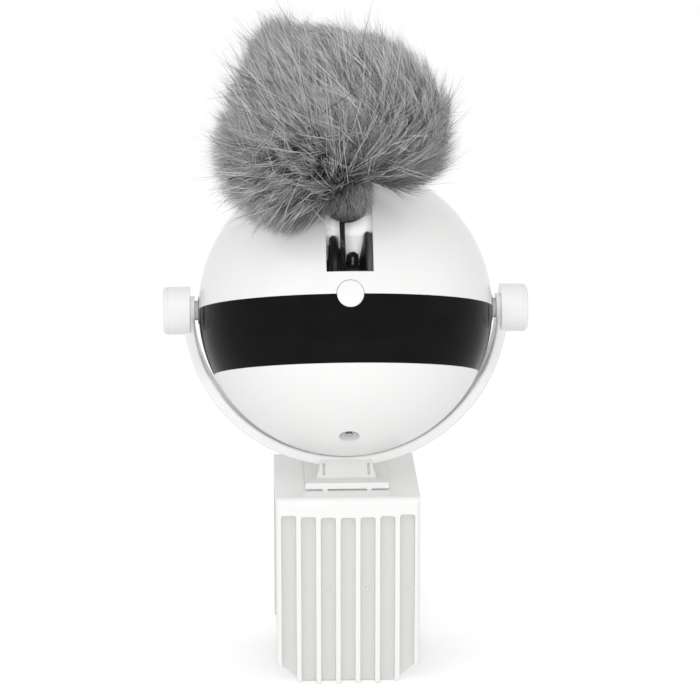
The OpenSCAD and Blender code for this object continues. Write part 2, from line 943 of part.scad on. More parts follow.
module groove_cut(x) {
    high = top_z - groove_top - smile * (1 - pow(2 * x / saddle_w, 2));
    flat_half = groove_w / 2 - groove_r;
    y0 = -saddle_l / 2 - over;
    y1 = -saddle_l / 2 + groove_depth;
    box(span(x, groove_w / 2), [y0, y1], [skirt_z - over, high - groove_r]);
    box(span(x, flat_half), [y0, y1], [skirt_z, high]);
    for (s = [-1, 1]) rod_y(y0, y1, groove_r, [x + s * flat_half, high - groove_r]);
}

module door_saddle() {
    floor_y = -saddle_l / 2 + groove_depth;
    color("white") difference() {
        union() {
            difference() {
                intersection() {
                    translate([-saddle_w / 2, 0, 0]) rotate([90, 0, 90])
                        linear_extrude(saddle_w) saddle_section();
                    translate([-saddle_w / 2, -saddle_l / 2, skirt_z])
                        linear_extrude(skirt_h) round_square(saddle_w, saddle_l, side_r);
                }
                for (side = [0, 1]) mirror([0, side, 0])
                    for (i = [0 : grooves - 1]) groove_cut((i - (grooves - 1) / 2) * groove_pitch);
                for (side = [0, 1]) mirror([side, 0, 0])
                    translate([saddle_w / 2 - corner_w, saddle_l, skirt_z])
                    rotate([90, 0, 0]) linear_extrude(saddle_l * 2)
                    polygon([[0, 0], [0, -over], [corner_w + over, -over],
                        [corner_w + over, corner_h], [corner_w, corner_h]]);
            }
            for (i = [-1, 1, 3], side = [0, 1]) mirror([0, side, 0])
                rod_y(floor_y - mark_t, floor_y + mark_t, mark_r, [i * groove_pitch, top_z - mark_drop]);
        }
        at_pegs() box(span(0, peg[0] / 2 + slip_gap), span(0, peg[1] / 2 + slip_gap),
            [top_z - peg[2] - slip_gap, top_z + over]);
        at_foot_screws() {
            rod_z(0, top_z + over, pilot_r + slip_gap);
            rod_z(0, pad_t + screw_head[1], screw_head[0] + side_gap);
        }
    }
}

module foot_screws() {
    color("silver") at_foot_screws() translate([0, 0, pad_t + screw_head[1]])
        screw(pilot_r, foot_screw_l - screw_head[1] - soft_gap, screw_head);
}

module saddle_pad() {
    color("dimgray") box(span(0, saddle_w / 2 - pad_edge),
        span(0, saddle_l / 2 - skirt_t - pad_inset), [0, pad_t]);
}

// Pad inside a skirt, on the front side
module side_pad() {
    box(span(0, saddle_w / 2 - side_pad_edge), [-saddle_l / 2 + skirt_t, -saddle_l / 2 + skirt_t + pad_t],
        [skirt_z + corner_h + side_pad_low, -side_pad_drop]);
}

module front_pad() {
    color("dimgray") side_pad();
}

module rear_pad() {
    color("dimgray") mirror([0, 1, 0]) side_pad();
}

// Round neck that holds the string under the core
module pompom_cap() {
    cap_reach = cap_r + cap_side;
    cap_top = pompom_z - sqrt(core_r * core_r - cap_reach * cap_reach) + seat_gap;
    color("black") translate([string_x, string_y, head_z]) difference() {
        translate([cap_side, 0, 0]) {
            translate([0, 0, cap_low + cap_r]) sphere(cap_r);
            rod_z(cap_low + cap_r, cap_top, cap_r);
        }
        translate([0, 0, pompom_z]) sphere(core_r);
        rod_z(0, head_d, string_d / 2 + press_gap);
    }
}

module pompom_core() {
    color("dimgray") difference() {
        translate(pompom_at) sphere(core_r);
        translate([string_x, string_y, head_z]) rod_z(0, knot_z + side_gap, string_d / 2 + slip_gap);
    }
}

module pompom_fur() {
    color("gray") difference() {
        union() for (l = lumps)
            translate(pompom_at + fur_r * [l[0], l[1], l[2]]) sphere(fur_r * l[3]);
        translate([0, 0, head_z]) sphere(head_r + soft_gap);
        translate(pompom_at) sphere(core_r + soft_gap);
        translate([string_x + cap_side, string_y, head_z]) rod_z(0, pompom_z, cap_r + soft_gap);
    }
}

door_saddle();
saddle_pad();
front_pad();
rear_pad();
yoke();
foot_screws();
left_hub_cap();
right_hub_cap();
upper_shell();
visor_band();
lower_shell();
string_well();
well_screws();
spool_bushes();
motor_gearbox();
motor_can();
motor_screws();
chassis();
chassis_screws();
shell_screws();
battery();
battery_clip();
main_board();
board_parts();
board_screws();
button_board();
button_screws();
tact_switch();
charge_jack();
jack_pin();
pivot_bushes();
friction_washers();
pivot_screws();
spool();
spool_axle();
spool_gear();
string_winding();
pinion();
motor_shaft();
power_button();
string_free();
pompom_cap();
pompom_core();
pompom_fur();
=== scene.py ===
# Looks of an automatic cat teaser: a ball-shaped winch head in a yoke on a door-top saddle,
# with a fur pompom on its string. Metres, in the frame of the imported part.
import json
import math

import bmesh
import bpy
import numpy as np
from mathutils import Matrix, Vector, noise
from mathutils.bvhtree import BVHTree


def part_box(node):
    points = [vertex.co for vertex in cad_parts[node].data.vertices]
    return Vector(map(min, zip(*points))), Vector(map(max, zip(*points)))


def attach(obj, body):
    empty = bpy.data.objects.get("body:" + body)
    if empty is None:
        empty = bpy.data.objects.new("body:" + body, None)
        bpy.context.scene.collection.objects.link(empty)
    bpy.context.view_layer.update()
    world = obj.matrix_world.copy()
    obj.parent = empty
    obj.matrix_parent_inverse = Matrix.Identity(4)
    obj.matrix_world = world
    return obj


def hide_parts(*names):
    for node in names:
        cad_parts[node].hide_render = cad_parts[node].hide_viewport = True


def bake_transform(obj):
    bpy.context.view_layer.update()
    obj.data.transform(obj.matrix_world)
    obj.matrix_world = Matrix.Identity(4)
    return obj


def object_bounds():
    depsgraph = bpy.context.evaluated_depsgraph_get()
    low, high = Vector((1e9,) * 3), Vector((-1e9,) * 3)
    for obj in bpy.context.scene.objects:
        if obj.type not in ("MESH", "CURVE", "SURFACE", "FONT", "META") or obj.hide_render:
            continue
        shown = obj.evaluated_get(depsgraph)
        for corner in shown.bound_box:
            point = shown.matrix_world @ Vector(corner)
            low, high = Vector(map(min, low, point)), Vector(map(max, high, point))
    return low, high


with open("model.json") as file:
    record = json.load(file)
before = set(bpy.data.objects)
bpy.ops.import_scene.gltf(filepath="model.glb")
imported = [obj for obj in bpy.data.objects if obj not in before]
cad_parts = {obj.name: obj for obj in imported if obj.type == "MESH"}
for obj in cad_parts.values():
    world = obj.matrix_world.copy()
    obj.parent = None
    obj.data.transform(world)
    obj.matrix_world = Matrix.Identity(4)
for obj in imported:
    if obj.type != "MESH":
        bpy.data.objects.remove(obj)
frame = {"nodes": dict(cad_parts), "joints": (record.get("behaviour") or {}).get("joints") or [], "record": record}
cad_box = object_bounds()
scene = bpy.context.scene
scene.view_settings.view_transform = "Standard"
MM = 0.001

# Places that the frame gives
pivots = {joint["name"]: Vector(joint["pos_m"]) for joint in frame["joints"] if joint.get("pos_m")}
head_at = pivots["head_tilt"]
spool_at = pivots["spool_spin"]


def middle_of(node):
    low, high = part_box(node)
    return (low + high) / 2


def size_of(node):
    low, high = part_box(node)
    return high - low


# Camera: the view of the photograph
VIEW_DOWN = math.radians(16)
VIEW_TURN = math.radians(-2.2)
VIEW_DISTANCE = 0.98
VIEW_LENS = 154.3
SENSOR = 36
AIM_RIGHT = 1.535 * MM
AIM_UP = -13.39 * MM


def place_camera():
    back = Vector((
        math.sin(VIEW_TURN) * math.cos(VIEW_DOWN),
        -math.cos(VIEW_TURN) * math.cos(VIEW_DOWN),
        math.sin(VIEW_DOWN),
    ))
    data = bpy.data.cameras.new("photo_camera")
    data.sensor_width = SENSOR
    data.lens = VIEW_LENS
    data.clip_start = 0.01
    camera = bpy.data.objects.new("photo_camera", data)
    camera.rotation_mode = "QUATERNION"
    turn = (-back).to_track_quat("-Z", "Y")
    camera.rotation_quaternion = turn
    right = turn @ Vector((1, 0, 0))
    up = turn @ Vector((0, 1, 0))
    camera.location = head_at + right * AIM_RIGHT + up * AIM_UP + back * VIEW_DISTANCE
    scene.collection.objects.link(camera)
    scene.camera = camera


place_camera()


# Shader maths
class Socket:
    """A shader value that takes Python's operators."""

    def __init__(self, graph, socket):
        self.graph = graph
        self.socket = socket

    def math(self, operation, first, second):
        return self.graph.node("Math", {"operation": operation}, {0: first, 1: second})["Value"]

    def __add__(self, other):
        return self.math("ADD", self, other)

    def __radd__(self, other):
        return self.math("ADD", other, self)

    def __sub__(self, other):
        return self.math("SUBTRACT", self, other)

    def __rsub__(self, other):
        return self.math("SUBTRACT", other, self)

    def __mul__(self, other):
        return self.math("MULTIPLY", self, other)

    def __rmul__(self, other):
        return self.math("MULTIPLY", other, self)


class Graph:
    """A node tree that is written as expressions."""

    def __init__(self, tree):
        self.tree = tree

    def feed(self, socket, value):
        if isinstance(value, Socket):
            self.tree.links.new(value.socket, socket)
        elif socket.type == "RGBA" and len(value) == 3:
            socket.default_value = (*value, 1)
        else:
            socket.default_value = value

    def node(self, kind, settings=None, sockets=None):
        """Adds a node: its settings first, then the values or links of its sockets."""
        made = self.tree.nodes.new("ShaderNode" + kind)
        for key, value in (settings or {}).items():
            if key == "stops":
                set_stops(made.color_ramp.elements, value)
            else:
                setattr(made, key, value)
        for key, value in (sockets or {}).items():
            self.feed(pick(made.inputs, key), value)
        return {out.name: Socket(self, out) for out in reversed(made.outputs) if out.enabled}


def pick(sockets, key):
    if isinstance(key, int):
        return sockets[key]
    return next(socket for socket in sockets if socket.name == key and socket.enabled)


def set_stops(elements, stops):
    for index, (position, colour) in enumerate(stops):
        stop = elements[index] if index < 2 else elements.new(position)
        stop.position = position
        stop.color = (*colour, 1)


class Finish(Graph):
    """A material on one Principled shader, with its constants on the shader's own sockets."""

    def __init__(self, name, constants):
        self.material = bpy.data.materials.new(name)
        self.material.use_nodes = True
        super().__init__(self.material.node_tree)
        self.shader = self.tree.nodes["Principled BSDF"]
        self.set(constants)
        self.place = self.node("TexCoord")["Object"]

    def set(self, sockets):
        for key, value in sockets.items():
            self.feed(self.shader.inputs[key], value)

    def grain(self, size, detail=2.0, place=None):
        """Soft noise between 0 and 1 whose lumps are about that size."""
        sockets = {"Vector": place or self.place, "Scale": 1 / size, "Detail": detail}
        return self.node("TexNoise", {}, sockets)["Fac"]

    def stretched(self, x, y, z):
        """Object coordinates drawn out along the axes, for streaks."""
        return self.node("Mapping", {}, {"Vector": self.place, "Scale": (x, y, z)})["Vector"]

    def blend(self, share, first, second):
        sockets = {"Factor": share, "A": first, "B": second}
        return self.node("Mix", {"data_type": "RGBA"}, sockets)["Result"]

    def size(self, value):
        """The value without its sign."""
        return self.node("Math", {"operation": "ABSOLUTE"}, {0: value})["Value"]

    def step(self, value, start, end):
        """Rises smoothly from 0 to 1 as the value goes from start to end."""
        sockets = {"Value": value, "From Min": start, "From Max": end}
        return self.node("MapRange", {"interpolation_type": "SMOOTHSTEP"}, sockets)["Result"]

    def relief(self, height, depth, under=None):
        sockets = {"Height": height, "Distance": depth, "Strength": 1.0}
        if under:
            sockets["Normal"] = under
        return self.node("Bump", {}, sockets)["Normal"]

    def soft_edges(self, radius):
        return self.node("Bevel", {"samples": 6}, {"Radius": radius})["Normal"]


# Plastics: sizes of the drift of tone and of the fine skin, and how far the light rounds an edge
PLASTIC_IOR = 1.5
FLOW_SIZE = 14 * MM
SKIN_SIZE = 1.6 * MM
SOFT_EDGE = 0.35 * MM
WHITE = (0.86, 0.86, 0.855)
WHITE_SHADE = (0.84, 0.84, 0.832)


def moulded(name, colour, shade, roughness, peel, edge=SOFT_EDGE):
    """Injection-moulded plastic: a drift of tone, uneven gloss, a fine skin and soft edges."""
    finish = Finish(name, {"IOR": PLASTIC_IOR})
    flow = finish.grain(FLOW_SIZE, 3.0)
    skin = finish.grain(SKIN_SIZE, 2.0)
    speck = finish.grain(0.25 * MM, 1.0)
    finish.set({
        "Base Color": finish.blend(flow, colour, shade),
        "Roughness": roughness + 0.05 * flow + 0.04 * speck,
        "Normal": finish.relief(skin + 0.3 * speck, peel, finish.soft_edges(edge)),
    })
    return finish.material


# Groove floors of the saddle, which carry a painted shade: depths in from its skirts, sides and top where they
# start and end
FLOOR_STARTS = (0.5 * MM, 2.3 * MM)
FLOOR_ENDS = (3.8 * MM, 3.2 * MM)
FLOOR_SIDE = (1.0 * MM, 1.5 * MM)
FLOOR_TOP = (4.5 * MM, 5.0 * MM)
FLOOR_SHADE_GREY = (0.7, 0.695, 0.67)
FLOOR_SHADE_PALE = (0.73, 0.725, 0.705)


def saddle_white():
    """The saddle's white: glossy ribs, and a matt skin on the grooves' floors, painted faintly grey as their
    shade.
    """
    low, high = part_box("door_saddle")
    middle, half = (low + high) / 2, (high - low) / 2
    finish = Finish("saddle_white", {"IOR": PLASTIC_IOR})
    at = finish.node("SeparateXYZ", {}, {"Vector": finish.place})
    beside = half.x - finish.size(at["X"] - middle.x)
    depth = half.y - finish.size(at["Y"] - middle.y)
    floor = finish.step(depth, *FLOOR_STARTS) * finish.step(depth, *FLOOR_ENDS)
    floor = floor * finish.step(beside, *FLOOR_SIDE) * finish.step(high.z - at["Z"], *FLOOR_TOP)
    flow = finish.grain(FLOW_SIZE, 3.0)
    skin = finish.grain(SKIN_SIZE, 2.0)
    texture = finish.grain(0.3 * MM, 2.0)
    white = finish.blend(flow, WHITE, WHITE_SHADE)
    # Painted shade: the grooves' floors are greyed as their depth would shade them.
    grey = finish.blend(texture, FLOOR_SHADE_GREY, FLOOR_SHADE_PALE)
    height = skin + 1.5 * floor * texture
    finish.set({
        "Base Color": finish.blend(floor, white, grey),
        "Roughness": 0.12 + 0.05 * flow + 0.4 * floor,
        "Normal": finish.relief(height, 0.008 * MM, finish.soft_edges(SOFT_EDGE)),
    })
    return finish.material


def visor_black():
    """Glossy black visor: deep black with a faint haze of handling on its gloss."""
    finish = Finish("visor_black", {"IOR": 1.45, "Specular IOR Level": 0.06})
    haze = finish.grain(9 * MM, 4.0)
    skin = finish.grain(3 * MM, 1.0)
    finish.set({
        "Base Color": finish.blend(haze, (0.004, 0.004, 0.0045), (0.008, 0.008, 0.009)),
        "Roughness": 0.07 + 0.09 * haze,
        "Normal": finish.relief(skin, 0.004 * MM, finish.soft_edges(0.25 * MM)),
    })
    return finish.material


def gear_grey():
    """Grey acetal of the toothed wheels, with fine streaks along the axle."""
    finish = Finish("gear_grey", {"IOR": 1.48})
    streak = finish.grain(0.4 * MM, 3.0, finish.stretched(0.08, 1, 1))
    flow = finish.grain(5 * MM)
    finish.set({
        "Base Color": finish.blend(streak, (0.1, 0.1, 0.1), (0.34, 0.34, 0.33)),
        "Roughness": 0.3 + 0.15 * flow,
        "Normal": finish.relief(streak, 0.01 * MM, finish.soft_edges(0.12 * MM)),
    })
    return finish.material


# The painted sheen on the spool's right flange: distances from its right end where the grey starts and is full
PAINTED_SHEEN_START = 5.0 * MM
PAINTED_SHEEN_FULL = 0.5 * MM


def spool_black():
    """Black spool with turning marks round its rims, painted with a grey sheen along them on its right flange."""
    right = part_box("spool")[1].x
    finish = Finish("spool_black", {"IOR": PLASTIC_IOR})
    along = finish.node("SeparateXYZ", {}, {"Vector": finish.place})["X"]
    marks = finish.grain(0.7 * MM, 3.0, finish.stretched(1, 0.03, 0.03))
    # Painted sheen: the turning marks on the right flange are painted pale grey where light glances off them.
    painted_sheen = finish.step(along, right - PAINTED_SHEEN_START, right - PAINTED_SHEEN_FULL)
    finish.set({
        "Base Color": finish.blend(painted_sheen * marks, (0.008, 0.008, 0.008), (0.6, 0.6, 0.595)),
        "Roughness": 0.3 + 0.15 * marks,
        "Normal": finish.relief(marks, 0.02 * MM, finish.soft_edges(0.15 * MM)),
    })
    return finish.material


def string_black():
    """Black twisted polyester: fine filaments along the string and a little fuzz."""
    finish = Finish("string_black", {"Specular IOR Level": 0.3})
    filament = finish.grain(0.12 * MM, 3.0)
    fade = finish.grain(2.5 * MM)
    finish.set({
        "Base Color": finish.blend(filament, (0.006, 0.006, 0.006), (0.035, 0.035, 0.036)),
        "Roughness": 0.7 + 0.2 * fade,
        "Normal": finish.relief(filament, 0.08 * MM),
    })
    return finish.material


PORE_SIZE = 0.5 * MM
WEAVE_SIZE = 0.8 * MM


def foam_grey():
    """Dark closed-cell foam with its open skin of small pores."""
    finish = Finish("foam_grey", {"Specular IOR Level": 0.25})
    sockets = {"Vector": finish.place, "Scale": 1 / PORE_SIZE}
    pore = finish.node("TexVoronoi", {"feature": "F1"}, sockets)["Distance"]
    tone = finish.grain(6 * MM, 3.0)
    finish.set({
        "Base Color": finish.blend(tone * pore, (0.05, 0.05, 0.052), (0.11, 0.11, 0.112)),
        "Roughness": 0.85 + 0.12 * tone,
        "Normal": finish.relief(pore, 0.15 * MM),
    })
    return finish.material


def washer_nylon():
    """Pale nylon of the friction washers."""
    finish = Finish("washer_nylon", {"Specular IOR Level": 0.3})
    bloom = finish.grain(1.2 * MM, 3.0)
    finish.set({
        "Base Color": finish.blend(bloom, (0.6, 0.6, 0.59), (0.7, 0.7, 0.69)),
        "Roughness": 0.5 + 0.25 * bloom,
        "Normal": finish.relief(bloom, 0.03 * MM),
    })
    return finish.material


def turned_metal(name, colour, dark, roughness):
    """Turned or drawn metal with fine tool lines and a slight tarnish."""
    finish = Finish(name, {"Metallic": 1.0})
    lines = finish.grain(0.15 * MM, 3.0, finish.stretched(1, 0.1, 1))
    tarnish = finish.grain(3 * MM, 4.0)
    finish.set({
        "Base Color": finish.blend(tarnish, colour, dark),
        "Roughness": roughness + 0.2 * lines * tarnish,
        "Normal": finish.relief(lines, 0.006 * MM),
    })
    return finish.material


def board_green():
    """Circuit board with its solder mask over the weave."""
    finish = Finish("board_green", {"IOR": PLASTIC_IOR})
    sockets = {"Vector": finish.place, "Scale": 1 / WEAVE_SIZE}
    weave = finish.node("TexBrick", {"offset": 0.5}, sockets)["Fac"]
    tone = finish.grain(4 * MM)
    finish.set({
        "Base Color": finish.blend(tone, (0.01, 0.12, 0.04), (0.02, 0.2, 0.07)),
        "Roughness": 0.3 + 0.15 * weave,
        "Normal": finish.relief(weave, 0.02 * MM),
    })
    return finish.material


def cell_wrap():
    """Shrink wrap of the battery cell, with fine draw lines round it."""
    finish = Finish("cell_wrap", {"IOR": PLASTIC_IOR})
    lines = finish.grain(0.6 * MM, 3.0, finish.stretched(1, 0.15, 0.15))
    tone = finish.grain(8 * MM)
    finish.set({
        "Base Color": finish.blend(tone, (0.02, 0.08, 0.24), (0.03, 0.12, 0.32)),
        "Roughness": 0.25 + 0.15 * lines,
        "Normal": finish.relief(lines, 0.03 * MM),
    })
    return finish.material


# The hairs' own map: the shade of a hair across, and the way from its root to its tip up
HAIR_MAP = "OFBake"
# Tone along a hair, with the two ends first
HAIR_TONES = [(0.0, 0.04), (1.0, 0.95), (0.35, 0.4), (0.75, 0.85)]
DARK_HAIR = (0.22, 0.22, 0.22)
PALE_HAIR = (1, 1, 1)


def fur_grey():
    """Grey rabbit fur: dark at the root, light at the tip, each hair with its own shade."""
    finish = Finish("fur_grey", {"Roughness": 0.6, "Specular IOR Level": 0.25})
    at = finish.node("UVMap", {"uv_map": HAIR_MAP})["UV"]
    split = finish.node("SeparateXYZ", {}, {"Vector": at})
    stops = [(share, (tone, tone, tone)) for share, tone in HAIR_TONES]
    length = finish.node("ValToRGB", {"stops": stops}, {"Fac": split["Y"]})["Color"]
    shade = finish.blend(split["X"], DARK_HAIR, PALE_HAIR)
    settings = {"data_type": "RGBA", "blend_type": "MULTIPLY"}
    both = finish.node("Mix", settings, {"Factor": 1.0, "A": length, "B": shade})
    finish.set({"Base Color": both["Result"]})
    return finish.material


def pelt_grey():
    """Underside of the fur: matted dark grey down on the skin, painted darker as the shade between the tufts."""
    finish = Finish("pelt_grey", {"Specular IOR Level": 0.2})
    down = finish.grain(0.5 * MM, 4.0)
    patch = finish.grain(5 * MM, 2.0)
    # Painted shade: the pelt is near black so the gaps between tufts read as shade.
    finish.set({
        "Base Color": finish.blend(down * patch, (0.015, 0.015, 0.015), (0.09, 0.09, 0.09)),
        "Roughness": 0.8 + 0.15 * patch,
        "Normal": finish.relief(down, 0.4 * MM),
    })
    return finish.material


# Painted light: the well's white is paler than the shell's, to brighten the dim inside of the slot.
WELL_PAINTED_LIGHT_WHITE = (0.95, 0.95, 0.945)
WELL_PAINTED_LIGHT_TONE = (0.93, 0.93, 0.925)
BLACK = (0.012, 0.012, 0.012)
BLACK_SHEEN = (0.02, 0.02, 0.02)
finishes = {
    "white_gloss": moulded("white_gloss", WHITE, WHITE_SHADE, 0.1, 0.006 * MM),
    "white_satin": moulded("white_satin", WHITE, WHITE_SHADE, 0.32, 0.01 * MM),
    "well_white": moulded("well_white", WELL_PAINTED_LIGHT_WHITE, WELL_PAINTED_LIGHT_TONE, 0.45, 0.01 * MM, 0.2 * MM),
    "black_gloss": visor_black(),
    "black_plastic": moulded("black_plastic", BLACK, BLACK_SHEEN, 0.35, 0.01 * MM),
    "grey_plastic": gear_grey(),
    "foam": foam_grey(),
    "washer": washer_nylon(),
    "steel": turned_metal("steel", (0.62, 0.62, 0.64), (0.45, 0.45, 0.47), 0.25),
    "brass": turned_metal("brass", (0.72, 0.52, 0.2), (0.5, 0.36, 0.14), 0.25),
    "board": board_green(),
    "cell": cell_wrap(),
    "string": string_black(),
    "core": pelt_grey(),
    "fur": fur_grey(),
}


def dress_nodes():
    """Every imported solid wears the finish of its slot; saddle and spool have their own."""
    for part in frame["record"]["subparts"]:
        mesh = frame["nodes"][part["node"]].data
        mesh.materials.clear()
        mesh.materials.append(finishes[part["material_slot"]])
    frame["nodes"]["door_saddle"].data.materials[0] = saddle_white()
    frame["nodes"]["spool"].data.materials[0] = spool_black()


dress_nodes()


# Making pieces
def add_piece(name, mesh, slot, body):
    piece = bpy.data.objects.new(name, mesh)
    scene.collection.objects.link(piece)
    mesh.materials.clear()
    mesh.materials.append(finishes[slot])
    if body:
        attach(piece, body)
    return piece


def mesh_of(bm, name):
    bmesh.ops.recalc_face_normals(bm, faces=bm.faces)
    mesh = bpy.data.meshes.new(name)
    bm.to_mesh(mesh)
    bm.free()
    mesh.shade_smooth()
    return mesh


# String: three plies twisted together
STRING_D = size_of("string_free").x
PLIES = 3
PLY_DEPTH = 0.13
TWIST_LENGTH = 2.4 * MM
SECTION_POINTS = 18
STRING_STEP = 0.4 * MM
# Thicker than its solid by this share, as loose plies are
STRING_FULL = 1.36
STRING_SWAY = 0.16 * MM
SWAY_BOWS = 3
WELD = 1e-7
# The loop on the spool, in turns: it shifts aside, steps down to the barrel and creeps along
LOOPS = 0.625
LOOP_STEPS = 30
SHIFT_TURNS = 0.3
STEP_TURNS = 0.35
CREEP_FROM = 0.5
LOOP_SHIFT = 2.2 * MM
LOOP_CREEP = 1.55 * MM
BARREL_REACH = 3.45 * MM
# The loose bight at its end
BIGHT_STEPS = 8
BIGHT_HALF = 1.15 * MM
BIGHT_RISE = 2.1 * MM
BIGHT_LEAN = 1.7 * MM
BIGHT_FOOT = 2.6 * MM
FOOT_STEPS = 5


def ply_section(name, radius):
    """The string's cross section: one lobe for each ply."""
    data = bpy.data.curves.new(name, "CURVE")
    spline = data.splines.new("POLY")
    spline.points.add(SECTION_POINTS - 1)
    spline.use_cyclic_u = True
    for index, point in enumerate(spline.points):
        angle = 2 * math.pi * index / SECTION_POINTS
        reach = radius * (1 - PLY_DEPTH + PLY_DEPTH * math.cos(PLIES * angle))
        point.co = (reach * math.cos(angle), reach * math.sin(angle), 0, 1)
    section = bpy.data.objects.new(name, data)
    scene.collection.objects.link(section)
    return section


def twisted_string(name, points):
    """A mesh of the section swept along the points, turned as the plies turn."""
    section = ply_section(name + "_section", STRING_FULL * STRING_D / 2)
    data = bpy.data.curves.new(name, "CURVE")
    data.dimensions = "3D"
    data.bevel_mode = "OBJECT"
    data.bevel_object = section
    data.use_fill_caps = True
    data.twist_mode = "MINIMUM"
    spline = data.splines.new("POLY")
    spline.points.add(len(points) - 1)
    run = 0.0
    for index, place in enumerate(points):
        if index:
            run += (place - points[index - 1]).length
        spline.points[index].co = (*place, 1)
        spline.points[index].tilt = 2 * math.pi * run / TWIST_LENGTH
    line = bpy.data.objects.new(name + "_line", data)
    scene.collection.objects.link(line)
    bpy.context.view_layer.update()
    graph = bpy.context.evaluated_depsgraph_get()
    mesh = bpy.data.meshes.new_from_object(line.evaluated_get(graph))
    bpy.data.objects.remove(line)
    bpy.data.objects.remove(section)
    bm = bmesh.new()
    bm.from_mesh(mesh)
    bmesh.ops.remove_doubles(bm, verts=bm.verts, dist=WELD)
    return mesh_of(bm, name)


def hang_string():
    """The free stretch from the winding up to the knot in the pompom."""
    low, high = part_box("string_free")
    line = middle_of("string_free")
    start = Vector((line.x, line.y, low.z))
    end = Vector((line.x, line.y, high.z))
    steps = round((high.z - low.z) / STRING_STEP)
    points = [start.lerp(end, step / steps) for step in range(steps + 1)]
    for index, point in enumerate(points):
        point.x += STRING_SWAY * math.sin(SWAY_BOWS * math.pi * index / steps)
    string = add_piece("string", twisted_string("string", points), "string", None)
    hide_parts("string_free")
    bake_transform(string)


def ease(share):
    share = min(1.0, max(0.0, share))
    return share * share * (3 - 2 * share)


def wind_string():
    """A loop over the wound heap, stepping down beside it to the barrel, then a loose bight."""
    line = middle_of("string_free")
    outer = spool_at.y - line.y
    points = [spool_at + Vector((line.x, -outer, STRING_D))]
    for step in range(LOOP_STEPS + 1):
        turn = LOOPS * step / LOOP_STEPS
        reach = outer - (outer - BARREL_REACH) * ease((turn - SHIFT_TURNS) / STEP_TURNS)
        creep = LOOP_CREEP * max(0.0, turn - CREEP_FROM)
        along = line.x + LOOP_SHIFT * ease(turn / SHIFT_TURNS) + creep
        angle = 2 * math.pi * turn
        place = Vector((along, -reach * math.cos(angle), -reach * math.sin(angle)))
        points.append(spool_at + place)
    foot = points[-1]
    for step in range(1, BIGHT_STEPS + 1):
        angle = math.pi / 2 * step / BIGHT_STEPS
        place = Vector((0, -BIGHT_LEAN * math.sin(angle), BIGHT_RISE * (1 - math.cos(angle))))
        points.append(foot + place)
    top = foot + Vector((BIGHT_HALF, -BIGHT_LEAN, BIGHT_RISE))
    for step in range(1, 2 * BIGHT_STEPS + 1):
        angle = math.pi * step / (2 * BIGHT_STEPS)
        place = Vector((-BIGHT_HALF * math.cos(angle), 0, BIGHT_HALF * math.sin(angle)))
        points.append(top + place)
    end = points[-1]
    for step in range(1, FOOT_STEPS + 1):
        points.append(end - Vector((0, 0, BIGHT_FOOT * step / FOOT_STEPS)))
    winding = add_piece("string_loops", twisted_string("string_loops", points), "string", "winch")
    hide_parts("string_winding")


hang_string()
wind_string()


# Pompom: hairs on a stuffed pelt, flowing away from the neck where it is tied
core_at = middle_of("pompom_core")
core_r = size_of("pompom_core").x / 2
tie_at = core_at - Vector((0, 0, core_r))
HAIR_SEED = 7
SWAY_SEED = 2
UP = np.array((0, 0, 1))
DOWN = np.array((0, 0, -1))

# Pelt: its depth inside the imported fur, and its pleats and lumps
CAVITY = 0.8 * MM
PELT_DEPTH = 9 * MM
PELT_CUTS = 6
PELT_SMOOTHING = 4
CORE_COVER = 0.97
PLEATS = 11
PLEAT_DEPTH = 0.03
LUMP_DEPTH = 0.03
LUMPS = 6

# How hairs lie: hanging at the lower left, combed over above, swaying together
LEFT_HANG = 1.5
HANG = 0.9
COMBED = np.array((-0.3, 0, 0))
COMB_FROM = 0.5
SWAY_SIZE = 16 * MM

# Coats in tufts: undercoat, guard hairs and long loose hairs.
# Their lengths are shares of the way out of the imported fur.
COATS = [
    {"tufts": 2000, "hairs": 20, "length": (0.86, 1.1), "rise": 0.45, "spread": 1.0, "stray": 0.1,
     "shade": 0.52, "dark": 0.0, "radius": 0.12 * MM},
    {"tufts": 1500, "hairs": 12, "length": (0.95, 1.18), "rise": 0.4, "spread": 0.35, "stray": 0.14,
     "shade": 0.95, "dark": 0.14, "radius": 0.16 * MM},
    {"tufts": 1500, "hairs": 3, "length": (1.0, 1.3), "rise": 0.9, "spread": 1.2, "stray": 0.3,
     "shade": 1.0, "dark": 0.3, "radius": 0.17 * MM},
]
COAT_LOWEST = -0.93
COAT_SWAY = 0.3
COAT_RADII = (0.75, 1.2)
TUFT_R = 1.1 * MM
TUFT_LEAN = 0.05
DROOP = 0.06
ROOT_DEPTH = 1.0 * MM
LONGEST = 32 * MM
SHORTEST = 10 * MM
NECK_CLEAR = 10 * MM
# How a hair stands between root and tip: out, along its way, with the sway, at random
STAND = (0.6, 0.75, 0.15, 0.07)
TONE_SPREAD = 0.14
# Painted light: hairs higher on the pompom are painted paler, lower ones darker.
TOP_LIGHT = 0.12
# Distances from the tie over which the roots come out of the shade, and the deepest shade
SHADE_START = 5 * MM
SHADE_END = 27 * MM
DEEP_SHADE = 0.3

# Long strands over the coats, in thin locks
STRANDS = 2000
STRAND_LOWEST = -0.75
LOCK_HAIRS = 2
LOCK_ROOT_R = 0.5 * MM
LOCK_TIP_R = 0.9 * MM
STRAND_ROOT = (3.0 * MM, 6.0 * MM)
STRAND_LENGTH = (9 * MM, 19 * MM)
STRAND_RISE = (0.05, 0.3)
STRAND_SWAY = 0.4
STRAND_BOW = 0.05
STRAND_R = 0.135 * MM
STRAND_RADII = (0.7, 1.2)
STRAND_PALE = 0.55
STRAND_SHADE = (0.9, 0.25)
LOCK_TONE = 0.1
STRANDS_DARK = 0.24
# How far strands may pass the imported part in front
STRANDS_PROUD = 5 * MM
LEAST_SLOPE = 0.05
# Where strands count as in front, and how soon they do in full
FRONT_FROM = 0.2
FRONT_GAIN = 1.4
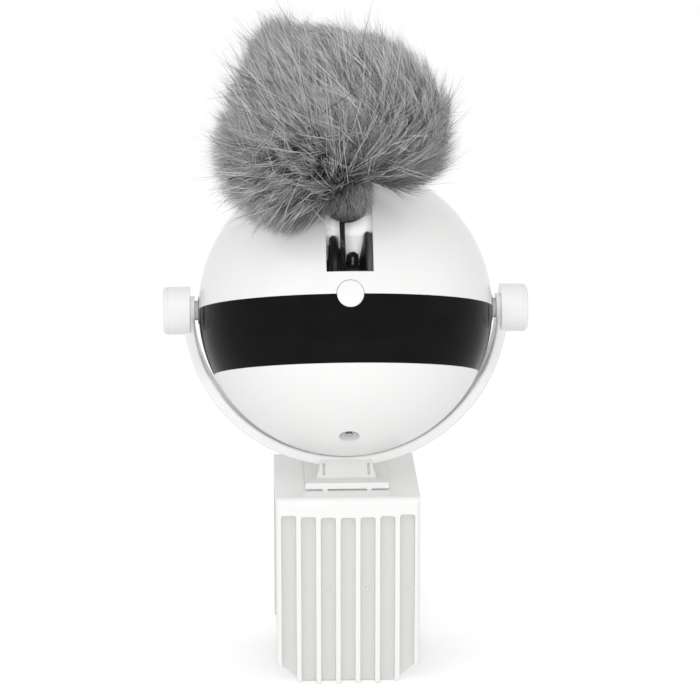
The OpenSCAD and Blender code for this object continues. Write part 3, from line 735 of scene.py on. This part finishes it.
# Length and stray of strands: at the sides and back, and added in front
SIDE_LENGTH, FRONT_LENGTH = 0.65, 1.05
SIDE_STRAY, FRONT_STRAY = 0.1, 0.17

# Where the outline stands further out or in: degrees up from the right, width, share of a hair
OUTLINE = [
    (140, 16, 0.24),
    (104, 16, -0.42),
    (40, 14, -0.14),
    (8, 10, 0.16),
    (-22, 14, -0.32),
    (-162, 16, 0.2),
]

# Hair meshes: where a hair bends, the line its sides are set out from, its margins on the map
HAIR_CUTS = (1 / 3, 2 / 3)
HAIR_WELD = 1e-6
ASIDE = (0.31, 0.87, 0.38)
MAP_EDGE = 0.02
MAP_WIDTH = 0.96
MAP_TURN = 0.01
FUR_PIECES = 6

# Neck: levels in its radii above the middle of its round end
NECK_HAIRS = 3000
NECK_LEVELS = (-0.75, 1.6)
NECK_ROOT = 0.96
NECK_LENGTH = (1.6 * MM, 3.2 * MM)
# Hairs get shorter down the round end, by this share of a radius, to no less than this
NECK_TAPER, NECK_SHORTEST = 0.8, 0.4
NECK_TWIST = 0.3
NECK_BOW = 0.5 * MM
NECK_HAIR_R = 0.11 * MM
NECK_SHADE = (0.16, 0.1)
# Towards the fur the neck's hairs flare into a skirt: longer, wilder, fuller and paler
SKIRT_FROM = -0.15
SKIRT_OVER = 0.6
SKIRT_LENGTH = 1.1
SKIRT_TWIST = 1.6
SKIRT_SHADE = (0.3, 0.3)
NECK_FULL, LEFT_FULL, SKIRT_FULL = 0.22, 0.5, 0.35


def unit(vectors):
    return vectors / np.linalg.norm(vectors, axis=-1, keepdims=True)


def fur_surface():
    """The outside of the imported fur, to grow towards."""
    body = frame["nodes"]["pompom_fur"].data
    places = [vert.co for vert in body.vertices]
    return BVHTree.FromPolygons(places, [face.vertices[:] for face in body.polygons])


fur_skin = fur_surface()
noise.seed_set(SWAY_SEED)


def pelt_reach(out):
    """How far the pelt stands from the core's centre: a hair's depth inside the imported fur."""
    outside = fur_skin.ray_cast(core_at + out * (core_r + CAVITY), out, LONGEST)[3]
    depth = (outside or 0.0) + CAVITY - PELT_DEPTH
    return core_r * CORE_COVER + max(0.0, depth)


def stuffed_pelt():
    """The soft body under the hairs, gathered in pleats towards the neck."""
    bm = bmesh.new()
    bmesh.ops.create_icosphere(bm, subdivisions=PELT_CUTS, radius=1)
    for vert in bm.verts:
        vert.co *= pelt_reach(vert.co.normalized())
    every_axis = {"use_axis_x": True, "use_axis_y": True, "use_axis_z": True}
    for turn in range(PELT_SMOOTHING):
        bmesh.ops.smooth_vert(bm, verts=bm.verts, factor=0.5, **every_axis)
    for vert in bm.verts:
        out = vert.co.normalized()
        low = max(0.0, -out.z) ** 3
        pleat = 1 - PLEAT_DEPTH * low * (1 + math.cos(PLEATS * math.atan2(out.y, out.x)))
        lump = 1 + LUMP_DEPTH * noise.noise(out * LUMPS)
        vert.co *= pleat * lump
    bmesh.ops.translate(bm, verts=bm.verts, vec=core_at)
    pelt = add_piece("pelt", mesh_of(bm, "pelt"), "core", "toy")
    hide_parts("pompom_core")


def one_hair():
    """A hair of unit length and radius: a three-sided point, cut where it bends."""
    bm = bmesh.new()
    bmesh.ops.create_cone(bm, cap_ends=True, segments=3, radius1=1, radius2=0, depth=1)
    bmesh.ops.translate(bm, verts=bm.verts, vec=(0, 0, 0.5))
    bmesh.ops.remove_doubles(bm, verts=bm.verts, dist=HAIR_WELD)
    for cut in HAIR_CUTS:
        geom = [*bm.verts, *bm.edges, *bm.faces]
        bmesh.ops.bisect_plane(bm, geom=geom, plane_co=(0, 0, cut), plane_no=(0, 0, 1))
    return mesh_of(bm, "one_hair")


def lay_hairs(name, roots, bends, tips, radii, shades, pales):
    """One mesh of hairs: the single hair bent along each curve from root to tip."""
    hair = one_hair()
    form = np.array([vert.co for vert in hair.vertices])
    corners = np.array([corner.vertex_index for corner in hair.loops])
    starts = np.array([face.loop_start for face in hair.polygons])
    count = len(roots)
    x, y, share = (form[:, axis][None, :, None] for axis in range(3))
    near, far = (1 - share) ** 2 * roots[:, None], share**2 * tips[:, None]
    line = near + 2 * share * (1 - share) * bends[:, None] + far
    chord = unit(tips - roots)
    side = unit(np.cross(chord, ASIDE))
    across = np.cross(chord, side)
    spread = x * side[:, None] + y * across[:, None]
    places = line + spread * radii[:, None, None]

    mesh = bpy.data.meshes.new(name)
    mesh.vertices.add(count * len(form))
    mesh.loops.add(count * len(corners))
    mesh.polygons.add(count * len(starts))
    mesh.vertices.foreach_set("co", places.astype(np.float32).ravel())
    every = np.arange(count)[:, None]
    mesh.loops.foreach_set("vertex_index", (every * len(form) + corners).ravel())
    mesh.polygons.foreach_set("loop_start", (every * len(corners) + starts).ravel())
    mesh.update(calc_edges=True)

    turn = np.arctan2(form[:, 1], form[:, 0])[corners] / (2 * math.pi)
    shade = MAP_EDGE + MAP_WIDTH * shades[:, None] + MAP_TURN * turn
    light = pales[:, None] + (1 - pales[:, None]) * form[:, 2][corners]
    on_map = np.stack([shade, MAP_EDGE + MAP_WIDTH * light], -1)
    hair_map = mesh.uv_layers.new(name=HAIR_MAP)
    hair_map.uv.foreach_set("vector", on_map.astype(np.float32).ravel())
    mesh.shade_smooth()
    return mesh


def hair_reach(roots, ways):
    """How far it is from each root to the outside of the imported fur."""
    lines = zip(roots, ways)
    hits = [fur_skin.ray_cast(Vector(root), Vector(way), LONGEST)[3] for root, way in lines]
    return np.array([SHORTEST if hit is None else hit for hit in hits])


def outline_share(out):
    """How much longer or shorter the hairs are where the outline stands out or in."""
    angle = np.arctan2(out[:, 2], out[:, 0])
    off = [(angle - math.radians(place)) / math.radians(width) for place, width, share in OUTLINE]
    return 1 + sum(row[2] * np.exp(-(part**2)) for row, part in zip(OUTLINE, off))


def out_of_shade(roots):
    """Hairs that start near the tie lie deep among the others, and show darker."""
    away = np.linalg.norm(roots - np.array(tie_at), axis=1)
    return np.clip((away - SHADE_START) / (SHADE_END - SHADE_START), DEEP_SHADE, 1)


def on_pelt(out, rise):
    """Places that stand that much above the pelt."""
    stands = np.array([pelt_reach(Vector(way)) for way in out]) + rise
    return np.array(core_at) + out * stands[:, None]


def swaying(roots):
    """The drift that neighbouring hairs share."""
    return np.array([noise.noise_vector(Vector(root) / SWAY_SIZE) for root in roots])


def hair_ways(roots, out, rise, sway, stray):
    """The way each hair takes: away from the tie, hung, combed, swayed and strayed."""
    flow = unit(roots - np.array(tie_at))
    lying = flow - (flow * out).sum(1, keepdims=True) * out
    hang = DOWN * np.clip(-out[:, 2:], 0, 1) * np.clip(-LEFT_HANG * out[:, :1], 0, 1)
    comb = COMBED * np.clip(out[:, 2:] + COMB_FROM, 0, 1)
    return unit(rise * out + lying + HANG * hang + comb + sway + stray)


def grow_coat(rng, coat):
    """Tufts of hairs on the pelt: roots, bends, tips, radii, shades and paleness of one coat."""
    out = unit(rng.normal(size=(coat["tufts"], 3)))
    out = out[out[:, 2] > COAT_LOWEST]
    roots = on_pelt(out, -ROOT_DEPTH)
    sway = swaying(roots)
    stray = coat["stray"] * rng.normal(size=out.shape)
    ways = hair_ways(roots, out, coat["rise"], COAT_SWAY * sway, stray)
    reach = np.clip(hair_reach(roots, ways), SHORTEST, LONGEST)
    ends = roots + ways * reach[:, None]
    clear = np.linalg.norm(ends[:, :2] - np.array(core_at)[:2], axis=1) > NECK_CLEAR
    clear |= ends[:, 2] > tie_at.z
    roots, out, ways, sway, reach = (part[clear] for part in (roots, out, ways, sway, reach))

    tuft = np.repeat(np.arange(len(roots)), coat["hairs"])
    count = len(tuft)
    offset = rng.normal(size=(count, 3)) * TUFT_R
    offset -= (offset * out[tuft]).sum(1, keepdims=True) * out[tuft]
    reach = reach * outline_share(out)
    grown = reach[tuft] * rng.uniform(*coat["length"], count)
    start = roots[tuft] + offset
    lean = unit(ways[tuft] + TUFT_LEAN * rng.normal(size=(count, 3)))
    droop = DOWN * (DROOP * grown * np.linalg.norm(lean[:, :2], axis=1))[:, None]
    tips = roots[tuft] + lean * grown[:, None] + offset * coat["spread"] + droop
    parts = (out[tuft], ways[tuft], sway[tuft], rng.normal(size=(count, 3)))
    stand = unit(sum(share * part for share, part in zip(STAND, parts)))
    bends = start + stand * (0.5 * grown)[:, None]
    tone = TONE_SPREAD * rng.normal(size=len(roots))[tuft] + TONE_SPREAD * rng.normal(size=count)
    shades = np.clip(coat["shade"] + tone + TOP_LIGHT * out[tuft, 2], 0, 1)
    shades = shades * out_of_shade(roots)[tuft]
    shades[rng.random(count) < coat["dark"]] = 0.0
    radii = coat["radius"] * rng.uniform(*COAT_RADII, count)
    return start, bends, tips, radii, shades, np.zeros(count)


def lay_strands(rng):
    """Long straight strands that stand out of the coat, in thin locks."""
    out = unit(rng.normal(size=(STRANDS, 3)))
    out = out[out[:, 2] > STRAND_LOWEST]
    count = len(out)
    roots = on_pelt(out, PELT_DEPTH - rng.uniform(*STRAND_ROOT, count))
    sway = swaying(roots)
    rise = rng.uniform(*STRAND_RISE, count)[:, None]
    front = np.clip(-FRONT_GAIN * out[:, 1] - FRONT_FROM, 0, 1)
    stray = (SIDE_STRAY + FRONT_STRAY * front)[:, None] * rng.normal(size=out.shape)
    ways = hair_ways(roots, out, rise, STRAND_SWAY * sway, stray)
    slope = np.clip(-ways[:, 1], LEAST_SLOPE, 1)
    room = (roots[:, 1] - cad_box[0].y + STRANDS_PROUD) / slope
    grown = rng.uniform(*STRAND_LENGTH, count) * outline_share(out)
    span = np.minimum(room, grown * (SIDE_LENGTH + FRONT_LENGTH * front))[:, None]

    lock = np.repeat(np.arange(count), LOCK_HAIRS)
    hairs = len(lock)
    start = roots[lock] + rng.normal(size=(hairs, 3)) * LOCK_ROOT_R
    tips = roots[lock] + ways[lock] * span[lock] + rng.normal(size=(hairs, 3)) * LOCK_TIP_R
    bends = (start + tips) / 2 + out[lock] * span[lock] * STRAND_BOW
    tone = rng.normal(*STRAND_SHADE, count)[lock] + LOCK_TONE * rng.normal(size=hairs)
    shades = np.clip(tone, 0, 1)
    shades[rng.random(hairs) < STRANDS_DARK] = 0.0
    radii = STRAND_R * rng.uniform(*STRAND_RADII, hairs)
    return start, bends, tips, radii, shades, np.full(hairs, STRAND_PALE)


def grow_fur():
    """The coats and strands together, shared out to pieces by their place round the core."""
    rng = np.random.default_rng(HAIR_SEED)
    coats = [grow_coat(rng, coat) for coat in COATS]
    coats.append(lay_strands(rng))
    hairs = [np.concatenate(each) for each in zip(*coats)]
    start = hairs[0]
    around = np.arctan2(start[:, 1] - core_at.y, start[:, 0] - core_at.x)
    order = np.argsort(around, kind="stable")
    for index, part in enumerate(np.array_split(order, FUR_PIECES)):
        name = f"fur_{index + 1}"
        mesh = lay_hairs(name, *(each[part] for each in hairs))
        fur = add_piece(name, mesh, "fur", "toy")
        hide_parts("pompom_fur")


def grow_neck_fur():
    """Short dark hairs that lie down over the round neck, and flare where it meets the fur."""
    rng = np.random.default_rng(HAIR_SEED + 1)
    low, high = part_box("pompom_cap")
    neck_r = (high.x - low.x) / 2
    ball = np.array(((low.x + high.x) / 2, (low.y + high.y) / 2, low.z + neck_r))
    around = rng.uniform(0, 2 * math.pi, NECK_HAIRS)
    level = rng.uniform(*NECK_LEVELS, NECK_HAIRS)
    under, above = np.clip(level, -1, 0), np.clip(level, 0, 2)
    slim = np.sqrt(1 - under**2)
    out = np.stack([slim * np.cos(around), slim * np.sin(around), under], 1)
    roots = ball + out * neck_r * NECK_ROOT + UP * (above * neck_r)[:, None]
    down = unit(DOWN - out * (out @ DOWN)[:, None])
    skirt = np.clip((level - SKIRT_FROM) / SKIRT_OVER, 0, 1)
    turned = rng.normal(0, NECK_TWIST, NECK_HAIRS) * (1 + SKIRT_TWIST * skirt)
    twist = np.cross(out, down) * turned[:, None]
    taper = np.clip(1 + NECK_TAPER * level, NECK_SHORTEST, 1)
    length = rng.uniform(*NECK_LENGTH, NECK_HAIRS) * taper * (1 + SKIRT_LENGTH * skirt)
    fuller = NECK_FULL + LEFT_FULL * np.clip(-out[:, 0], 0, 1) + SKIRT_FULL * skirt
    tips = roots + unit(down + twist + fuller[:, None] * out) * length[:, None]
    bends = (roots + tips) / 2 + out * NECK_BOW
    tone = rng.normal(*NECK_SHADE, NECK_HAIRS) + skirt * rng.normal(*SKIRT_SHADE, NECK_HAIRS)
    radii = np.full(NECK_HAIRS, NECK_HAIR_R)
    pales = np.zeros(NECK_HAIRS)
    mesh = lay_hairs("neck_fur", roots, bends, tips, radii, np.clip(tone, 0, 1), pales)
    add_piece("neck_fur", mesh, "fur", "toy")


stuffed_pelt()
grow_fur()
grow_neck_fur()


# Foam pads of the saddle
PAD_CORNER = 2.5 * MM
CORNER_STEPS = 6
PAD_EDGE = 0.3 * MM
EDGE_STEPS = 3
# A direction counts as along an axis from this share of it
ALONG = 0.9


def round_edges(bm, edges, offset, segments):
    bmesh.ops.bevel(
        bm, geom=edges, offset=offset, offset_type="OFFSET", affect="EDGES",
        segments=segments, profile=0.5, material=-1,
    )


def runs_along(edge, axis):
    first, second = edge.verts
    return abs((first.co - second.co).normalized()[axis]) > ALONG


def foam_pad(name, node, thin):
    """A sheet of foam with round corners and soft edges, in the place of its plain solid."""
    low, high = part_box(node)
    bm = bmesh.new()
    bmesh.ops.create_cube(bm, size=1)
    bmesh.ops.scale(bm, verts=bm.verts, vec=high - low)
    bmesh.ops.translate(bm, verts=bm.verts, vec=(low + high) / 2)
    through = [edge for edge in bm.edges if runs_along(edge, thin)]
    round_edges(bm, through, PAD_CORNER, CORNER_STEPS)
    rims = [
        edge for edge in bm.edges
        if any(abs(face.normal[thin]) > ALONG for face in edge.link_faces)
    ]
    round_edges(bm, rims, PAD_EDGE, EDGE_STEPS)
    pad = add_piece(name, mesh_of(bm, name), "foam", "base")
    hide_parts(node)


foam_pad("saddle_foam", "saddle_pad", 2)
foam_pad("front_foam", "front_pad", 1)
foam_pad("rear_foam", "rear_pad", 1)


# Studio: pale floor, white surroundings and soft boxes
FLOOR_SIZE = 1.4
FLOOR_GAP = 0.2 * MM
FLOOR_WHITE = (0.85, 0.85, 0.85)
FLOOR_GLOW = 0.34
FILL = 0.74
# Soft boxes: place beside, before and above the head, width, height, watts, seen in gloss
SOFT_BOXES = {
    "left_box": ((-1.0, -0.75, 0.75), 0.8, 0.8, 1.0, True),
    "right_box": ((1.15, -0.25, 0.35), 0.5, 0.8, 0.3, True),
    "top_box": ((-0.25, -0.85, 1.05), 0.9, 0.6, 0.9, True),
    "front_box": ((-0.05, -1.34, 0.39), 0.24, 0.2, 6.4, False),
    "slot_box": ((-0.05, -1.34, 0.39), 0.24, 0.2, 14.0, False),
}
SLOT_PIECES = ["string_well", "spool"]


def in_sight(graph):
    """1 where the eye looks at it, straight or by a mirror or glass, and 0 where it only lights."""
    seen = graph.node("LightPath")
    return seen["Is Camera Ray"] + seen["Is Glossy Ray"] + seen["Is Transmission Ray"]


def lay_floor():
    bm = bmesh.new()
    bmesh.ops.create_grid(bm, x_segments=1, y_segments=1, size=FLOOR_SIZE / 2)
    bmesh.ops.translate(bm, verts=bm.verts, vec=(0, 0, cad_box[0].z - FLOOR_GAP))
    mesh = mesh_of(bm, "floor")
    floor = bpy.data.objects.new("floor", mesh)
    scene.collection.objects.link(floor)
    matt = {"Base Color": FLOOR_WHITE, "Roughness": 0.9, "Specular IOR Level": 0.0}
    finish = Finish("floor_white", matt)
    sockets = {"Color": (1, 1, 1), "Strength": FLOOR_GLOW * in_sight(finish)}
    glow = finish.node("Emission", {}, sockets)["Emission"]
    shader = Socket(finish, finish.shader.outputs["BSDF"])
    lit = finish.node("AddShader", {}, {0: shader, 1: glow})["Shader"]
    finish.feed(finish.tree.nodes["Material Output"].inputs["Surface"], lit)
    mesh.materials.append(finish.material)


def light_surroundings():
    world = bpy.data.worlds.new("white_studio")
    world.use_nodes = True
    scene.world = world
    graph = Graph(world.node_tree)
    inputs = world.node_tree.nodes["Background"].inputs
    graph.feed(inputs["Color"], (1, 1, 1))
    graph.feed(inputs["Strength"], FILL + (1 - FILL) * in_sight(graph))


def hang_soft_boxes():
    for name, (place, width, height, watts, in_gloss) in SOFT_BOXES.items():
        data = bpy.data.lights.new(name, "AREA")
        data.shape = "RECTANGLE"
        data.size = width
        data.size_y = height
        data.energy = watts
        lamp = bpy.data.objects.new(name, data)
        lamp.location = head_at + Vector(place)
        lamp.rotation_mode = "QUATERNION"
        lamp.rotation_quaternion = (-Vector(place)).to_track_quat("-Z", "Y")
        lamp.visible_glossy = in_gloss
        scene.collection.objects.link(lamp)


def keep_to_slot(lamp):
    """The lamp lights only what lies in the slot, where the open light hardly reaches."""
    reached = bpy.data.collections.new("slot_pieces")
    for node in SLOT_PIECES:
        reached.objects.link(frame["nodes"][node])
    lamp.light_linking.receiver_collection = reached


lay_floor()
light_surroundings()
hang_soft_boxes()
keep_to_slot(scene.objects["slot_box"])
